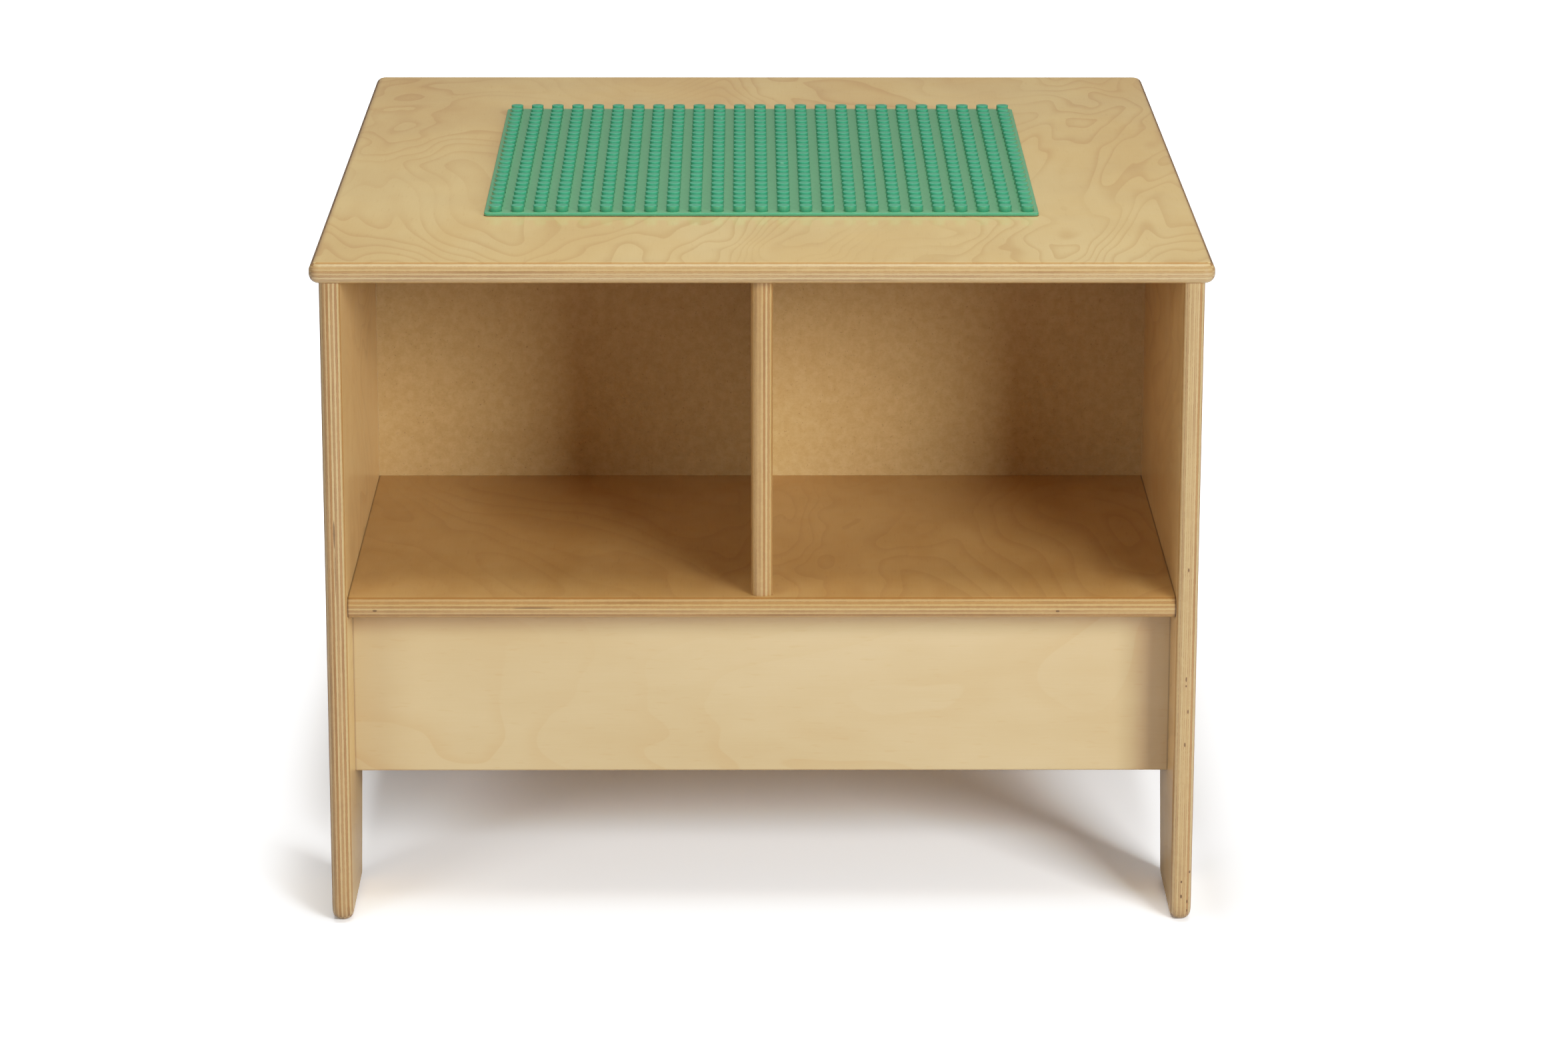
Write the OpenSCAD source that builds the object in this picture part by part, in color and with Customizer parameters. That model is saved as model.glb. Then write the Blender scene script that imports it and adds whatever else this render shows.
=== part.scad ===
// Building block table for small children.
// A birch plywood table with a studded building plate on top and open cubbies on both long faces.
// Millimetres, +Z up. X is the width, the photographed front faces -Y.
// The origin is on the floor, under the middle of the table.

/* [Table] */
// Width of the table top, left to right
top_w = 629; // [520:1:760]
// Depth of the table top, front to rear
top_d = 714; // [600:1:800]
// Height of the table top's working face above the floor
table_h = 485; // [420:1:620]
// Thickness of every plywood board
board_t = 15; // [14:0.5:20]
// Radius of the round-over on exposed board edges
edge_r = 6.35; // [2:0.05:6.5]
// Corner radius of the table top, seen from above
top_corner_r = 8; // [7:0.5:40]
// How far the top stands out past the side panels' outer faces
side_overhang = 6.5; // [0:0.5:20]
// How far the top stands out past the side panels' front and rear edges
end_overhang = 5; // [0:0.5:20]

/* [Side panels] */
// Length of a foot where it meets the floor
foot_floor_len = 102; // [90:1:160]
// Length of a foot at the top of the cut-out between the feet
foot_top_len = 130; // [110:1:200]
// Height of the cut-out between the front and rear feet
cutout_h = 96; // [60:1:130]
// Radius in the upper corners of the cut-out
cutout_r = 30; // [8:1:45]
// Corner radius of a foot at the front and rear of the table
foot_outer_r = 12; // [8:0.5:30]
// Corner radius of a foot beside the cut-out
foot_inner_r = 8; // [7:0.5:20]

/* [Cubbies] */
// Height of the shelf's upper face above the floor
shelf_z = 240; // [200:1:300]
// How far the shelf's edge sits behind the side panels' edges
shelf_setback = 7; // [7:0.5:30]
// How far a divider's edge sits behind the shelf's edge
divider_setback = 6.5; // [6.5:0.5:40]
// Thickness of the fibreboard panel between the front and rear cubbies
panel_t = 5; // [3:0.5:8]
// Depth of the grooves that hold the fibreboard panel
groove_deep = 5; // [3:0.5:7]

/* [Aprons] */
// Height of the aprons' lower edge above the floor
apron_z = 98; // [60:1:140]
// How far an apron's face sits behind the side panels' edges
apron_setback = 52; // [20:1:90]
// Radius on an apron's lower edges
apron_edge_r = 2; // [0.5:0.5:4]

/* [Building plate] */
// Studs along each side of the plate
stud_count = 25; // [12:1:30]
// Distance from one stud to the next
stud_pitch = 16; // [14:0.5:18]
// Diameter of a stud
stud_d = 9.4; // [7:0.1:11]
// Height of a stud above the plate
stud_h = 4.5; // [3:0.1:6]
// Thickness of the plate's sheet
plate_t = 2; // [1.5:0.1:4]
// Corner radius of the plate
plate_corner_r = 3; // [1:0.5:8]
// Thickness of the adhesive strips under the plate
strip_t = 0.5; // [0.3:0.1:1.5]
// Width of an adhesive strip
strip_w = 25; // [10:1:40]
// How far the outer strips sit inside the plate's edge
strip_inset = 6; // [2:1:20]
// Number of adhesive strips
strip_count = 5; // [3:1:8]

/* [Cleats and screws] */
// Side of the square cleats that hold the top down
cleat_s = 20; // [16:1:28]
// Length of a cleat
cleat_l = 190; // [140:5:240]
// Gap between a cleat and the middle of the table
cleat_mid_gap = 25; // [12:1:40]
// Shank diameter of a wood screw
screw_d = 4; // [3:0.5:5]
// Head diameter of a wood screw
screw_head_d = 8; // [6:0.5:10]
// How far a wood screw bites into the board beyond the cleat
screw_bite = 9; // [6:0.5:11]

/* [Dowels and bolts] */
// Diameter of a wooden dowel
dowel_d = 8; // [6:0.5:9]
// Length of a wooden dowel
dowel_l = 30; // [24:1:40]
// How far a dowel goes into the face of a board
dowel_face_deep = 10; // [8:0.5:11]
// Diameter of a connector bolt
bolt_d = 6; // [5:0.5:7]
// Length of a connector bolt under its head
bolt_l = 45; // [38:1:70]
// Head diameter of a connector bolt
bolt_head_d = 15; // [11:0.5:20]
// Head thickness of a connector bolt
bolt_head_t = 2; // [1.5:0.1:4]
// Key size of the hexagon socket in a bolt's head
bolt_key = 4; // [3:0.5:5]
// Diameter of a cross nut
nut_d = 10; // [9:0.5:12]
// Length of a cross nut
nut_l = 10; // [8:0.5:13]
// Distance from a board's end to its cross nut
nut_back = 26; // [18:1:40]
// Distance from the shelf's edge to its connector bolts
shelf_bolt_back = 110; // [106:1:130]
// Distance from the shelf's edge to the outer dowels in its ends
shelf_dowel_back = 40; // [30:1:60]
// Distance from the outer to the inner dowels in the shelf's ends
shelf_dowel_pitch = 140; // [125:1:160]
// Distance from an apron's long edges to the dowels in its ends
apron_dowel_back = 25; // [15:1:28]
// Distance from a divider's rounded edge to its outer dowels
divider_dowel_back = 60; // [30:1:100]
// Distance from the middle of the table to a divider's inner dowels
divider_dowel_mid = 80; // [30:1:110]

/* [Clearances] */
// Clearance all round a dowel, screw, bolt or cross nut in its hole
hole_gap = 0.1; // [0.05:0.05:0.3]
// Clearance past the end of a dowel, bolt or cross nut in its hole
end_gap = 0.5; // [0.2:0.1:1]
// Clearance on each side of the fibreboard panel in its grooves
groove_gap = 0.2; // [0.1:0.05:0.4]

/* [Hidden] */
$fn = 48;

// Widths, depths and heights that follow from the driving sizes
carcase_w = top_w - 2 * side_overhang;
carcase_d = top_d - 2 * end_overhang;
inner_w = carcase_w - 2 * board_t;
panel_top = table_h - board_t;
shelf_d = carcase_d - 2 * shelf_setback;
shelf_under = shelf_z - board_t;
divider_y = shelf_d / 2 - divider_setback;
divider_h = panel_top - shelf_z;
apron_y = carcase_d / 2 - apron_setback;
apron_h = shelf_under - apron_z;
apron_mid_y = apron_y - board_t / 2;
plate_w = stud_count * stud_pitch;
plate_z = table_h + strip_t;
past = 20;

// Places of the joints, measured from the edges that they hold
shelf_bolt_y = shelf_d / 2 - shelf_bolt_back;
shelf_dowel_y = shelf_d / 2 - shelf_dowel_back;
shelf_dowel_ys = [shelf_dowel_y, shelf_dowel_y - shelf_dowel_pitch];
apron_bolt_z = apron_z + apron_h / 2;
apron_dowel_zs = [apron_z + apron_dowel_back, shelf_under - apron_dowel_back];
apron_top_xs = [-inner_w / 4, inner_w / 4];
divider_dowel_ys = [divider_y - divider_dowel_back, divider_dowel_mid];
cleat_x = inner_w / 2 - cleat_s / 2;
cleat_z = panel_top - cleat_s / 2;
cleat_side_ys = [cleat_mid_gap + cleat_l * 0.15, cleat_mid_gap + cleat_l * 0.85];
cleat_top_ys = [cleat_mid_gap + cleat_l * 0.35, cleat_mid_gap + cleat_l * 0.65];
screw_l = cleat_s + screw_bite;

// Vector helpers for outlines that run counter-clockwise
function unit(v) = v / norm(v);
function left_of(v) = [-v[1], v[0]];
function heading(v) = atan2(v[1], v[0]);
function spot(p) = [p[0], p[1]];
function step_in(o, i) = unit(spot(o[i]) - spot(o[(i + len(o) - 1) % len(o)]));
function step_out(o, i) = unit(spot(o[(i + 1) % len(o)]) - spot(o[i]));
function turn(o, i) = acos(step_in(o, i) * step_out(o, i));
function convex(o, i) = step_in(o, i) * left_of(step_out(o, i)) < 0;
function setback(o, i) = o[i][2] * tan(turn(o, i) / 2);
function arc_start(o, i) = spot(o[i]) - step_in(o, i) * setback(o, i);
function arc_end(o, i) = spot(o[i]) + step_out(o, i) * setback(o, i);
function arc_centre(o, i) = arc_start(o, i) + left_of(step_in(o, i)) * o[i][2] * (convex(o, i) ? 1 : -1);

// One rounded edge of a board in section: flat at x = 0, round-overs of radius r on both faces
module edge_section(t, r) {
  intersection() {
    square([r, t]);
    union() {
      translate([0, r]) circle(r);
      translate([0, t - r]) circle(r);
      translate([0, r]) square([r, t - 2 * r]);
    }
  }
}

// Directions from a corner's arc centre to where its arc starts and ends
function way_in(o, i) = left_of(step_in(o, i)) * (convex(o, i) ? -1 : 1);
function way_out(o, i) = left_of(step_out(o, i)) * (convex(o, i) ? -1 : 1);

// How far the wedge of an inner corner reaches, in radii, so that it clears the corner's ring
function wedge_reach(o, i) = max(1, 1 / (1 + cos(turn(o, i))));

// The flat middle of a board: its outline drawn in by r, with a notch where each corner piece goes
module board_core(o, r) {
  polygon([
    for (i = [0 : len(o) - 1])
      each [
        arc_start(o, i) + left_of(step_in(o, i)) * r,
        arc_centre(o, i) + (convex(o, i) ? [0, 0]
          : (way_in(o, i) + way_out(o, i)) * (o[i][2] + r) * wedge_reach(o, i)),
        arc_end(o, i) + left_of(step_out(o, i)) * r,
      ]
  ]);
}

// Section of a corner piece, out from its arc centre: an outer corner is solid there, an inner one is hollow
module corner_section(o, i, t, r) {
  if (convex(o, i)) {
    square([o[i][2] - r, t]);
    translate([o[i][2] - r, 0]) edge_section(t, r);
  } else {
    translate([o[i][2] + r, 0]) mirror([1, 0]) edge_section(t, r);
    translate([o[i][2] + r, 0]) square([2 * (o[i][2] + r) * wedge_reach(o, i), t]);
  }
}

// One corner of a board: a full ring cut by a wedge, so that its ends lie exactly on the straight runs
module corner_piece(o, i, t, r) {
  from = way_in(o, i);
  to = way_out(o, i);
  reach = (o[i][2] + r) * (convex(o, i) ? 2 : 1);
  tip = (from + to) * reach * (convex(o, i) ? 1 : wedge_reach(o, i));
  translate(arc_centre(o, i))
    intersection() {
      rotate([0, 0, from[0] + to[0] > 0 ? 180 : 0])
        rotate_extrude() corner_section(o, i, t, r);
      translate([0, 0, -1])
        linear_extrude(t + 2)
          polygon([[0, 0], from * reach, tip, to * reach]);
    }
}

// A board of thickness t whose outline o lists [x, y, corner radius], rounded over all round
module rounded_board(o, t, r) {
  linear_extrude(t) board_core(o, r);
  for (i = [0 : len(o) - 1]) {
    j = (i + 1) % len(o);
    run = arc_start(o, j) - arc_end(o, i);
    translate(arc_start(o, j) + left_of(step_out(o, i)) * r)
      rotate([0, 0, heading(run) - 90])
        rotate([90, 0, 0])
          linear_extrude(norm(run)) edge_section(t, r);
    corner_piece(o, i, t, r);
  }
}

// The same on the left and right, or at the front and rear
module both_sides() {
  children();
  mirror([1, 0, 0]) children();
}
module both_ends() {
  children();
  mirror([0, 1, 0]) children();
}

// Round bars along X and along Y, each from the given start
module bar_x(d, l) {
  rotate([0, 90, 0]) cylinder(d = d, h = l);
}
module bar_y(d, l) {
  rotate([-90, 0, 0]) cylinder(d = d, h = l);
}

// Every fastener group takes a gap: 0 draws the pieces, hole_gap draws the holes around them
module shelf_dowels_at(gap) {
  extra = gap > 0 ? end_gap : 0;
  both_sides() both_ends()
    for (y = shelf_dowel_ys)
      translate([inner_w / 2 + dowel_face_deep - dowel_l - extra, y, shelf_z - board_t / 2])
        bar_x(dowel_d + 2 * gap, dowel_l + 2 * extra);
}
module apron_dowels_at(gap) {
  extra = gap > 0 ? end_gap : 0;
  both_sides() both_ends()
    for (z = apron_dowel_zs)
      translate([inner_w / 2 + dowel_face_deep - dowel_l - extra, apron_mid_y, z])
        bar_x(dowel_d + 2 * gap, dowel_l + 2 * extra);
  both_ends()
    for (x = apron_top_xs)
      translate([x, apron_mid_y, shelf_under + dowel_face_deep - dowel_l - extra])
        cylinder(d = dowel_d + 2 * gap, h = dowel_l + 2 * extra);
}
module divider_dowels_at(gap) {
  extra = gap > 0 ? end_gap : 0;
  both_ends()
    for (y = divider_dowel_ys) {
      translate([0, y, shelf_z - dowel_face_deep - extra])
        cylinder(d = dowel_d + 2 * gap, h = dowel_l + 2 * extra);
      translate([0, y, panel_top + dowel_face_deep - dowel_l - extra])
        cylinder(d = dowel_d + 2 * gap, h = dowel_l + 2 * extra);
    }
}
module bolts_at(gap) {
  extra = gap > 0 ? end_gap : 0;
  both_sides() both_ends()
    for (p = [[shelf_bolt_y, shelf_z - board_t / 2], [apron_mid_y, apron_bolt_z]])
      translate([carcase_w / 2, p[0], p[1]]) {
        translate([-bolt_head_t - bolt_l - extra, 0, 0]) bar_x(bolt_d + 2 * gap, bolt_l + extra + 0.01);
        translate([-bolt_head_t - (gap > 0 ? gap : 0), 0, 0])
          bar_x(bolt_head_d + 2 * gap, bolt_head_t + (gap > 0 ? past : 0));
      }
}
module nuts_at(gap) {
  extra = gap > 0 ? end_gap : 0;
  nut_x = inner_w / 2 - nut_back;
  lead = (board_t - nut_l) / 2;
  both_sides() both_ends() {
    translate([nut_x, shelf_bolt_y, shelf_under + lead - (gap > 0 ? past : 0)])
      cylinder(d = nut_d + 2 * gap, h = nut_l + (gap > 0 ? past : 0) + extra);
    translate([nut_x, apron_y - board_t + lead - (gap > 0 ? past : 0), apron_bolt_z])
      bar_y(nut_d + 2 * gap, nut_l + (gap > 0 ? past : 0) + extra);
  }
}

// A countersunk wood screw pointing up from its head at z = 0
module wood_screw(gap) {
  tip = screw_d;
  rotate_extrude()
    polygon([
      [0, 0],
      [screw_head_d / 2 + gap, 0],
      [screw_d / 2 + gap, (screw_head_d - screw_d) / 2],
      [screw_d / 2 + gap, screw_l - tip + gap],
      [0, screw_l + gap],
    ]);
}
module side_screws_at(gap) {
  both_sides() both_ends()
    for (y = cleat_side_ys)
      translate([inner_w / 2 - cleat_s, y, cleat_z]) rotate([0, 90, 0]) wood_screw(gap);
}
module top_screws_at(gap) {
  both_sides() both_ends()
    for (y = cleat_top_ys)
      translate([cleat_x, y, panel_top - cleat_s]) wood_screw(gap);
}

// Fibreboard panel between the cubbies, or with a gap the grooves that hold it
module centre_board(gap) {
  reach = inner_w / 2 + groove_deep - groove_gap + gap;
  low = shelf_z - groove_deep + groove_gap - gap;
  translate([-reach, -panel_t / 2 - gap, low])
    cube([2 * reach, panel_t + 2 * gap, panel_top - low]);
}

// Table top: one board, rounded over on both faces all round
module top_panel() {
  color("burlywood")
    difference() {
      translate([0, 0, panel_top])
        rounded_board([
          [-top_w / 2, -top_d / 2, top_corner_r],
          [top_w / 2, -top_d / 2, top_corner_r],
          [top_w / 2, top_d / 2, top_corner_r],
          [-top_w / 2, top_d / 2, top_corner_r],
        ], board_t, edge_r);
      divider_dowels_at(hole_gap);
      top_screws_at(hole_gap);
    }
}

// Building plate: a moulded sheet with a square grid of studs
module building_plate() {
  first = -(stud_count - 1) * stud_pitch / 2;
  half = plate_w / 2 - plate_corner_r;
  color("mediumseagreen")
    translate([0, 0, plate_z]) {
      linear_extrude(plate_t) {
        square([plate_w, 2 * half], center = true);
        square([2 * half, plate_w], center = true);
        for (x = [-half, half], y = [-half, half])
          translate([x, y]) circle(plate_corner_r);
      }
      for (i = [0 : stud_count - 1], j = [0 : stud_count - 1])
        translate([first + i * stud_pitch, first + j * stud_pitch, plate_t / 2])
          cylinder(d = stud_d, h = plate_t / 2 + stud_h, $fn = 24);
    }
}

// Adhesive strips that bond the plate to the top, set in from the plate's edge
module plate_adhesive() {
  reach = plate_w / 2 - strip_inset;
  spread = plate_w - 2 * strip_inset - strip_w;
  color("gainsboro")
    for (i = [0 : strip_count - 1])
      translate([-reach, -reach + i * spread / (strip_count - 1), table_h])
        cube([2 * reach, strip_w, strip_t]);
}

// One side panel with two feet, its inner face turned towards -X
module side_board() {
  half = carcase_d / 2;
  outline = [
    [-half, 0, foot_outer_r],
    [-half + foot_floor_len, 0, foot_inner_r],
    [-half + foot_top_len, cutout_h, cutout_r],
    [half - foot_top_len, cutout_h, cutout_r],
    [half - foot_floor_len, 0, foot_inner_r],
    [half, 0, foot_outer_r],
    [half, panel_top + past, edge_r + 1],
    [-half, panel_top + past, edge_r + 1],
  ];
  difference() {
    translate([inner_w / 2, 0, 0]) rotate([90, 0, 90]) rounded_board(outline, board_t, edge_r);
    translate([0, -top_d, panel_top]) cube([top_w, 2 * top_d, 2 * past]);
    centre_board(groove_gap);
    shelf_dowels_at(hole_gap);
    apron_dowels_at(hole_gap);
    bolts_at(hole_gap);
    side_screws_at(hole_gap);
  }
}
module side_panel_right() {
  color("burlywood") side_board();
}
module side_panel_left() {
  color("burlywood") mirror([1, 0, 0]) side_board();
}

// Full-depth shelf that carries both rows of cubbies
module shelf() {
  color("tan")
    difference() {
      translate([-inner_w / 2, 0, shelf_under]) {
        translate([0, -shelf_d / 2 + edge_r, 0]) cube([inner_w, shelf_d - 2 * edge_r, board_t]);
        both_ends()
          translate([0, shelf_d / 2 - edge_r, 0])
            rotate([90, 0, 90]) linear_extrude(inner_w) edge_section(board_t, edge_r);
      }
      centre_board(groove_gap);
      shelf_dowels_at(hole_gap);
      apron_dowels_at(hole_gap);
      divider_dowels_at(hole_gap);
      bolts_at(hole_gap);
      nuts_at(hole_gap);
    }
}

// Fibreboard panel that closes the backs of the cubbies
module centre_panel() {
  color("peru") centre_board(0);
}

// Upright board between two cubbies, its outer edge rounded over
module divider_board() {
  inner_y = panel_t / 2 + groove_gap;
  difference() {
    translate([0, 0, shelf_z]) {
      translate([-board_t / 2, inner_y, 0]) cube([board_t, divider_y - edge_r - inner_y, divider_h]);
      translate([board_t / 2, divider_y - edge_r, 0])
        rotate([0, 0, 90]) linear_extrude(divider_h) edge_section(board_t, edge_r);
    }
    divider_dowels_at(hole_gap);
  }
}
module divider_rear() {
  color("burlywood") divider_board();
}
module divider_front() {
  color("burlywood") mirror([0, 1, 0]) divider_board();
}

// Apron under the shelf, its lower edges slightly rounded
module apron_board() {
  difference() {
    translate([-inner_w / 2, apron_y - board_t, apron_z]) {
      translate([0, 0, apron_edge_r]) cube([inner_w, board_t, apron_h - apron_edge_r]);
      translate([0, 0, apron_edge_r])
        rotate([0, 90, 0]) linear_extrude(inner_w) edge_section(board_t, apron_edge_r);
    }
    apron_dowels_at(hole_gap);
    bolts_at(hole_gap);
    nuts_at(hole_gap);
  }
}
module apron_rear() {
  color("wheat") apron_board();
}
module apron_front() {
  color("wheat") mirror([0, 1, 0]) apron_board();
}

// Square hardwood cleat under the top, screwed to a side panel and to the top
module cleat_board() {
  difference() {
    translate([inner_w / 2 - cleat_s, cleat_mid_gap, panel_top - cleat_s])
      cube([cleat_s, cleat_l, cleat_s]);
    side_screws_at(hole_gap);
    top_screws_at(hole_gap);
  }
}
module cleat_rear_right() {
  color("sandybrown") cleat_board();
}
module cleat_rear_left() {
  color("sandybrown") mirror([1, 0, 0]) cleat_board();
}
module cleat_front_right() {
  color("sandybrown") mirror([0, 1, 0]) cleat_board();
}
module cleat_front_left() {
  color("sandybrown") mirror([1, 0, 0]) mirror([0, 1, 0]) cleat_board();
}

// Fasteners, one group of separate pieces for each kind of joint
module shelf_dowels() {
  color("navajowhite") shelf_dowels_at(0);
}
module apron_dowels() {
  color("navajowhite") apron_dowels_at(0);
}
module divider_dowels() {
  color("navajowhite") divider_dowels_at(0);
}
module connector_bolts() {
  color("dimgray")
    difference() {
      bolts_at(0);
      both_sides() both_ends()
        for (p = [[shelf_bolt_y, shelf_z - board_t / 2], [apron_mid_y, apron_bolt_z]])
          translate([carcase_w / 2 - bolt_head_t, p[0], p[1]])
            rotate([0, 90, 0]) cylinder(d = bolt_key / cos(30), h = bolt_head_t + 1, $fn = 6);
    }
}
module cross_nuts() {
  color("silver")
    difference() {
      nuts_at(0);
      bolts_at(hole_gap);
    }
}
module cleat_side_screws() {
  color("gray") side_screws_at(0);
}
module cleat_top_screws() {
  color("gray") top_screws_at(0);
}

top_panel();
building_plate();
plate_adhesive();
side_panel_left();
side_panel_right();
shelf();
centre_panel();
divider_front();
divider_rear();
apron_front();
apron_rear();
cleat_front_left();
cleat_front_right();
cleat_rear_left();
cleat_rear_right();
shelf_dowels();
apron_dowels();
divider_dowels();
connector_bolts();
cross_nuts();
cleat_side_screws();
cleat_top_screws();
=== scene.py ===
# %% [markdown]
# # A block table for a playroom
# This notebook dresses a small birch plywood table. Its solids come from the CAD model and stay
# exactly where they are. Blender adds what a solid can't show: veneer, plies, lacquer and light.
# The frame is in metres, with the floor at z = 0 and the front of the table towards -Y.

# %% Load the frame
import math

import bpy
import numpy as np
from mathutils import Matrix, Vector


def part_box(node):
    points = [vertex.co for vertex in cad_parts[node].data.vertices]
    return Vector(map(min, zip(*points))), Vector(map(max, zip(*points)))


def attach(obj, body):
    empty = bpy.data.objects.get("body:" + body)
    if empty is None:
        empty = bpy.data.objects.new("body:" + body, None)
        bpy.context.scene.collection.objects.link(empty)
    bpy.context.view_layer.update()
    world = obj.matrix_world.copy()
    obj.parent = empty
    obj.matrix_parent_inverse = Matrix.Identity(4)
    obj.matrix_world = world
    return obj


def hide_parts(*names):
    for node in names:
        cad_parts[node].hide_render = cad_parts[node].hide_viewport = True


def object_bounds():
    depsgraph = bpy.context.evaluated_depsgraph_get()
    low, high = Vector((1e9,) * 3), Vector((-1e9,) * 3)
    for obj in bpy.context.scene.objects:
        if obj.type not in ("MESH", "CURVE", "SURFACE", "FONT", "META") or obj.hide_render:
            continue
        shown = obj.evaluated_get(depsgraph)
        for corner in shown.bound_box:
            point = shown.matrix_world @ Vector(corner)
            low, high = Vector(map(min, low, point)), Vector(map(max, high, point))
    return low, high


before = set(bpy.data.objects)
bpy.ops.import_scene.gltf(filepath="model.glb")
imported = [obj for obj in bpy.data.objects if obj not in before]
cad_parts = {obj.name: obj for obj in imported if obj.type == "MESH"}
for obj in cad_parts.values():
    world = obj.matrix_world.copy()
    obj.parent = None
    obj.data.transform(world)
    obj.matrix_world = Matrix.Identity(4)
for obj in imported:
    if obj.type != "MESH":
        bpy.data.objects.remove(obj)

cad_low, cad_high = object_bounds()
print("table box:", [round(v, 4) for v in cad_low], [round(v, 4) for v in cad_high])

# %% [markdown]
# ## The camera
# The picture was taken with a long lens from a little above the table. A camera can be aimed by
# eye with a Track To constraint, but then every edge lands a little off. The place of this one
# was found from the edges of the table and the grid of studs, so it is three turns and a
# position. A long lens keeps the sides nearly parallel, which is why the table looks so upright.

# %% Camera
PICTURE_WIDTH, FOCAL_PIXELS = 2352, 7872.6
SENSOR_WIDTH = 36
CAMERA_PLACE = (-0.01202, -3.90553, 1.27158)
TURN, TILT, ROLL = (math.radians(a) for a in (-0.442, -15.3205, -0.0916))
NEAREST, FURTHEST = 0.1, 60
aim = Matrix.Rotation(TURN, 3, "Z") @ Matrix.Rotation(TILT, 3, "X") @ Matrix.Rotation(ROLL, 3, "Y")
level = Matrix.Rotation(math.radians(90), 3, "X")
lens = bpy.data.cameras.new("camera")
lens.sensor_width = SENSOR_WIDTH
lens.lens = FOCAL_PIXELS * SENSOR_WIDTH / PICTURE_WIDTH
lens.clip_start, lens.clip_end = NEAREST, FURTHEST
camera = bpy.data.objects.new("camera", lens)
camera.matrix_world = Matrix.Translation(CAMERA_PLACE) @ (aim @ level).to_4x4()
bpy.context.collection.objects.link(camera)
bpy.context.scene.camera = camera
print("lens: %.1f mm" % lens.lens)

# %% [markdown]
# ## Small tools for node trees
# A material is a graph of nodes. Adding and linking each one by hand takes several lines, so a
# few helpers keep the graph readable. `feed` sets a socket from a value or from another socket,
# and most of the others add one node and hand back what it puts out.


# %% Sockets and numbers
def feed(tree, socket, source):
    """Gives a socket its value, or links it when the source is another socket."""
    if isinstance(source, bpy.types.NodeSocket):
        tree.links.new(source, socket)
    else:
        socket.default_value = source


def feed_all(tree, node, **sources):
    """Feeds a node's inputs by name; underscores in a name stand for spaces."""
    for title, source in sources.items():
        feed(tree, node.inputs[title.replace("_", " ")], source)


def calc(tree, operation, *terms):
    """One maths node, with its terms in order."""
    node = tree.nodes.new("ShaderNodeMath")
    node.operation = operation
    for socket, term in zip(node.inputs, terms):
        feed(tree, socket, term)
    return node.outputs[0]


def plus(tree, first, second):
    """The first number plus the second."""
    return calc(tree, "ADD", first, second)


def minus(tree, first, second):
    """The first number minus the second."""
    return calc(tree, "SUBTRACT", first, second)


def times(tree, first, second):
    """The first number times the second."""
    return calc(tree, "MULTIPLY", first, second)


def unsigned(tree, value):
    """A number without its sign."""
    return calc(tree, "ABSOLUTE", value)


print("a maths node takes", len(bpy.types.ShaderNodeMath.bl_rna.properties["operation"].enum_items),
      "operations")


# %% Steps and tints
def between(tree, value, low, high):
    """1 where a number is above low and below high, and 0 elsewhere."""
    above = calc(tree, "GREATER_THAN", value, low)
    return times(tree, above, calc(tree, "LESS_THAN", value, high))


def ramp(tree, value, low, high, start=0.0, end=1.0):
    """A soft step: start below low, end above high. Between them, with t from 0 to 1, the share
    of the end is t squared times (3 - 2 t)."""
    node = tree.nodes.new("ShaderNodeMapRange")
    node.interpolation_type = "SMOOTHSTEP"
    for socket, term in zip(node.inputs, (value, low, high, start, end)):
        feed(tree, socket, term)
    return node.outputs[0]


# A mix node has sockets for numbers, vectors and colours; these are the places of the colours.
MIX_AMOUNT, MIX_FIRST, MIX_SECOND, MIX_RESULT = 0, 6, 7, 2


def blend(tree, amount, first, second, mode="MIX"):
    """Mixes two colours: first x (1 - amount) + second x amount, unless the mode says else."""
    node = tree.nodes.new("ShaderNodeMix")
    node.data_type, node.blend_type = "RGBA", mode
    for index, term in ((MIX_AMOUNT, amount), (MIX_FIRST, first), (MIX_SECOND, second)):
        feed(tree, node.inputs[index], term)
    return node.outputs[MIX_RESULT]


def tint(tree, base, mask, strength, colour):
    """Covers a base with a colour, by mask x strength."""
    return blend(tree, times(tree, mask, strength), base, colour)


def tone(red, green, blue):
    """A colour as seen on screen, 0 to 255, turned into the linear numbers that nodes use. With c
    from 0 to 1 that is ((c + 0.055) / 1.055) to the power 2.4, or c / 12.92 for the darkest."""
    c = np.array([red, green, blue]) / 255
    linear = np.where(c <= 0.04045, c / 12.92, ((c + 0.055) / 1.055) ** 2.4)
    return (*[float(v) for v in linear], 1.0)


print("white:", tone(255, 255, 255))


# %% Places and noise
def axes(tree, place):
    """The X, Y and Z of a place, as sockets with those names."""
    node = tree.nodes.new("ShaderNodeSeparateXYZ")
    feed(tree, node.inputs[0], place)
    return node.outputs


def together(tree, x, y, z):
    """Three numbers as one place."""
    node = tree.nodes.new("ShaderNodeCombineXYZ")
    feed_all(tree, node, X=x, Y=y, Z=z)
    return node.outputs[0]


def place_calc(tree, operation, first, second):
    """One maths node for places, which works on each axis by itself."""
    node = tree.nodes.new("ShaderNodeVectorMath")
    node.operation = operation
    feed(tree, node.inputs[0], first)
    feed(tree, node.inputs[1], second)
    return node.outputs[0]


def noise(tree, place, lumps, detail=2.0, rough=0.5, warp=0.0):
    """Cloudy noise with so many lumps per metre."""
    node = tree.nodes.new("ShaderNodeTexNoise")
    feed_all(tree, node, Vector=place, Scale=lumps, Detail=detail, Roughness=rough, Distortion=warp)
    return node.outputs["Fac"]


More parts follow.
